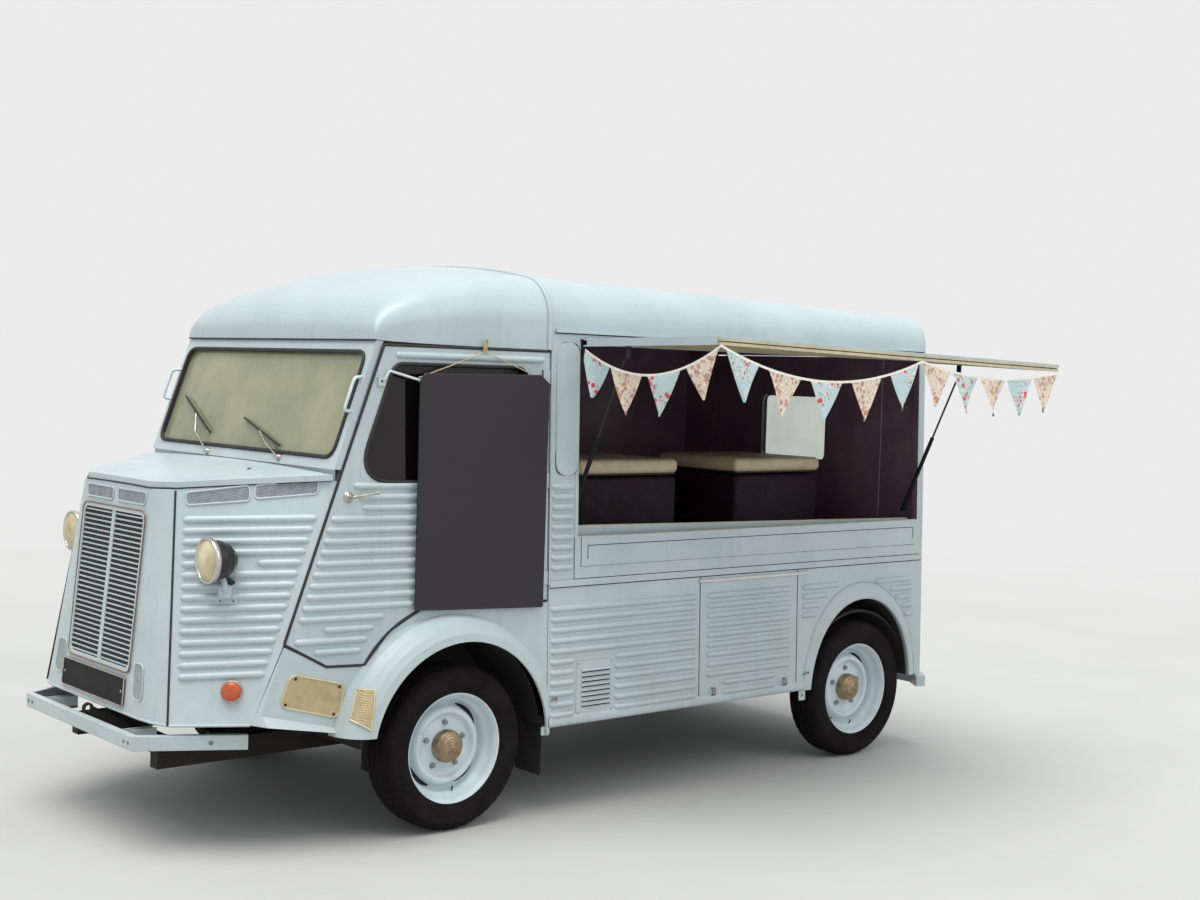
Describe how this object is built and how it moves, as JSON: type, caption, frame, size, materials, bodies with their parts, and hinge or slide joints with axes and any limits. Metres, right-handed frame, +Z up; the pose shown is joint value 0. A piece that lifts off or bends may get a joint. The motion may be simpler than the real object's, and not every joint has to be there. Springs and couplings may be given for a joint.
{
  "type": "ice cream truck",
  "caption": "Short-nosed corrugated panel van turned ice cream truck, with an open serving flap, counter, chest freezers, hung menu board and bunting.",
  "frame": {"origin": "bottom centre of the bounding box, on the ground", "axes": "+X forward, +Y to the vehicle's left, the serving side, +Z up"},
  "size_m": [4.26, 2.6954, 2.374],
  "materials": {
    "body_paint": "hand-painted pale powder blue, slightly worn",
    "wheel_paint": "pale blue painted pressed steel",
    "underbody": "black underbody paint",
    "floor": "dark painted floor",
    "glass": "flat clear glass",
    "tyre": "dark tyre rubber",
    "shelf_wood": "varnished shelf board",
    "freezer_dark": "black coated cabinet",
    "lid_pale": "pale moulded lid",
    "lamp_black": "black bowl with chrome rim",
    "lamp_orange": "orange lens",
    "raw_steel": "dull steel with surface rust",
    "seat_vinyl": "black vinyl",
    "cast_block": "cast iron",
    "black_plastic": "black plastic rim",
    "board_black": "black chalkboard paint",
    "bunting_cloth": "cotton print flags on white tape",
    "strut_black": "black strut cylinder",
    "strut_rod": "dark strut rod"
  },
  "bodies": {
    "root": {"chassis": "underbody", "load_floor": "floor", "cab_floor": "floor", "nose_panel": "body_paint", "grille": "body_paint", "cheek_left": "body_paint", "cheek_right": "body_paint", "wing_left": "body_paint", "wing_right": "body_paint", "windscreen_frame": "body_paint", "windscreen": "glass", "cab_roof": "body_paint", "body_roof": "body_paint", "side_lower_left": "body_paint", "side_lower_right": "body_paint", "side_upper_left": "body_paint", "side_upper_right": "body_paint", "rear_frame": "body_paint", "counter": "shelf_wood", "freezers": "freezer_dark", "bumpers": "body_paint", "headlamps": "lamp_black", "side_lamps": "lamp_orange", "mirror_arms": "body_paint", "exhaust": "raw_steel", "seats": "seat_vinyl", "engine_block": "cast_block", "suspension_arms": "underbody"},
    "knuckle_left": {"knuckle_left": "cast_block"},
    "knuckle_right": {"knuckle_right": "cast_block"},
    "wheel_front_left": {"tyre_front_left": "tyre", "wheel_front_left": "wheel_paint"},
    "wheel_front_right": {"tyre_front_right": "tyre", "wheel_front_right": "wheel_paint"},
    "wheel_rear_left": {"tyre_rear_left": "tyre", "wheel_rear_left": "wheel_paint"},
    "wheel_rear_right": {"tyre_rear_right": "tyre", "wheel_rear_right": "wheel_paint"},
    "steering_wheel": {"steering_wheel": "black_plastic"},
    "cab_door_left": {"cab_door_left": "body_paint", "door_glass_left": "glass", "menu_board": "board_black"},
    "cab_door_right": {"cab_door_right": "body_paint", "door_glass_right": "glass"},
    "bonnet": {"bonnet": "body_paint"},
    "serving_flap": {"serving_flap": "body_paint", "bunting": "bunting_cloth"},
    "strut_cylinders": {"strut_cylinders": "strut_black"},
    "strut_rods": {"strut_rods": "strut_rod"},
    "tailgate": {"tailgate": "body_paint", "tailgate_glass": "glass"},
    "rear_door_left": {"rear_door_left": "body_paint"},
    "rear_door_right": {"rear_door_right": "body_paint"},
    "freezer_lid_front": {"freezer_lid_front": "lid_pale"},
    "freezer_lid_rear": {"freezer_lid_rear": "lid_pale"}
  },
  "joints": [
    {"name": "steer_left", "type": "hinge", "parent": "root", "child": "knuckle_left", "pos_m": [0.89, 0.30031, 0.343], "axis": [0, 0, 1], "range_deg": [-30, 30]},
    {"name": "steer_right", "type": "hinge", "parent": "root", "child": "knuckle_right", "pos_m": [0.89, -1.09969, 0.343], "axis": [0, 0, 1], "range_deg": [-30, 30]},
    {"name": "spin_front_left", "type": "hinge", "parent": "knuckle_left", "child": "wheel_front_left", "pos_m": [0.89, 0.40881, 0.343], "axis": [0, 1, 0], "continuous": true},
    {"name": "spin_rear_left", "type": "hinge", "parent": "root", "child": "wheel_rear_left", "pos_m": [-1.61, 0.42531, 0.343], "axis": [0, 1, 0], "continuous": true},
    {"name": "spin_front_right", "type": "hinge", "parent": "knuckle_right", "child": "wheel_front_right", "pos_m": [0.89, -1.20819, 0.343], "axis": [0, 1, 0], "continuous": true},
    {"name": "spin_rear_right", "type": "hinge", "parent": "root", "child": "wheel_rear_right", "pos_m": [-1.61, -1.22469, 0.343], "axis": [0, 1, 0], "continuous": true},
    {"name": "steering_column", "type": "hinge", "parent": "root", "child": "steering_wheel", "pos_m": [1.19, -0.02969, 1.3], "axis": [-0.5, 0, 0.866], "range_deg": [-480, 480]},
    {"name": "cab_door_left_hinge", "type": "hinge", "parent": "root", "child": "cab_door_left", "pos_m": [0.452, 0.51565, 1.4], "axis": [0, -0.0282, 0.9996], "range_deg": [0, 75]},
    {"name": "cab_door_right_hinge", "type": "hinge", "parent": "root", "child": "cab_door_right", "pos_m": [0.452, -1.31503, 1.4], "axis": [0, -0.0282, -0.9996], "range_deg": [0, 75]},
    {"name": "bonnet_hinge", "type": "hinge", "parent": "root", "child": "bonnet", "pos_m": [1.4468, -0.39969, 1.479], "axis": [0, -1, 0], "range_deg": [0, 55]},
    {"name": "flap_hinge", "type": "hinge", "parent": "root", "child": "serving_flap", "pos_m": [-0.87, 0.49531, 2.05], "axis": [1, 0, 0], "range_deg": [-86.2, 0], "deforming": ["bunting"]},
    {"name": "strut_pivot", "type": "hinge", "parent": "root", "child": "strut_cylinders", "pos_m": [-0.87, 0.43331, 1.245], "axis": [1, 0, 0], "range_deg": [-1, 24.7]},
    {"name": "strut_slide", "type": "slide", "parent": "strut_cylinders", "child": "strut_rods", "axis": [0, 0.4153, 0.9097], "range_m": [-0.2798, 0.002]},
    {"name": "tailgate_hinge", "type": "hinge", "parent": "root", "child": "tailgate", "pos_m": [-2.084, -0.39969, 2.033], "axis": [0, 1, 0], "range_deg": [0, 85]},
    {"name": "rear_door_left_hinge", "type": "hinge", "parent": "root", "child": "rear_door_left", "pos_m": [-2.084, 0.23331, 0.78], "axis": [0, 0, -1], "range_deg": [0, 100]},
    {"name": "rear_door_right_hinge", "type": "hinge", "parent": "root", "child": "rear_door_right", "pos_m": [-2.084, -1.03269, 0.78], "axis": [0, 0, 1], "range_deg": [0, 100]},
    {"name": "freezer_lid_front_hinge", "type": "hinge", "parent": "root", "child": "freezer_lid_front", "pos_m": [-0.3, -0.39269, 1.43], "axis": [1, 0, 0], "range_deg": [0, 80]},
    {"name": "freezer_lid_rear_hinge", "type": "hinge", "parent": "root", "child": "freezer_lid_rear", "pos_m": [-1.32, -0.39269, 1.43], "axis": [1, 0, 0], "range_deg": [0, 80]}
  ],
  "couplings": [
    {"joint": "steer_right", "follows": "steer_left", "ratio": 1},
    {"joint": "steering_column", "follows": "steer_left", "ratio": 16},
    {"joint": "strut_pivot", "follows": "flap_hinge", "ratio": -0.27499},
    {"joint": "strut_slide", "follows": "flap_hinge", "m_per_rad": 0.18397}
  ]
}
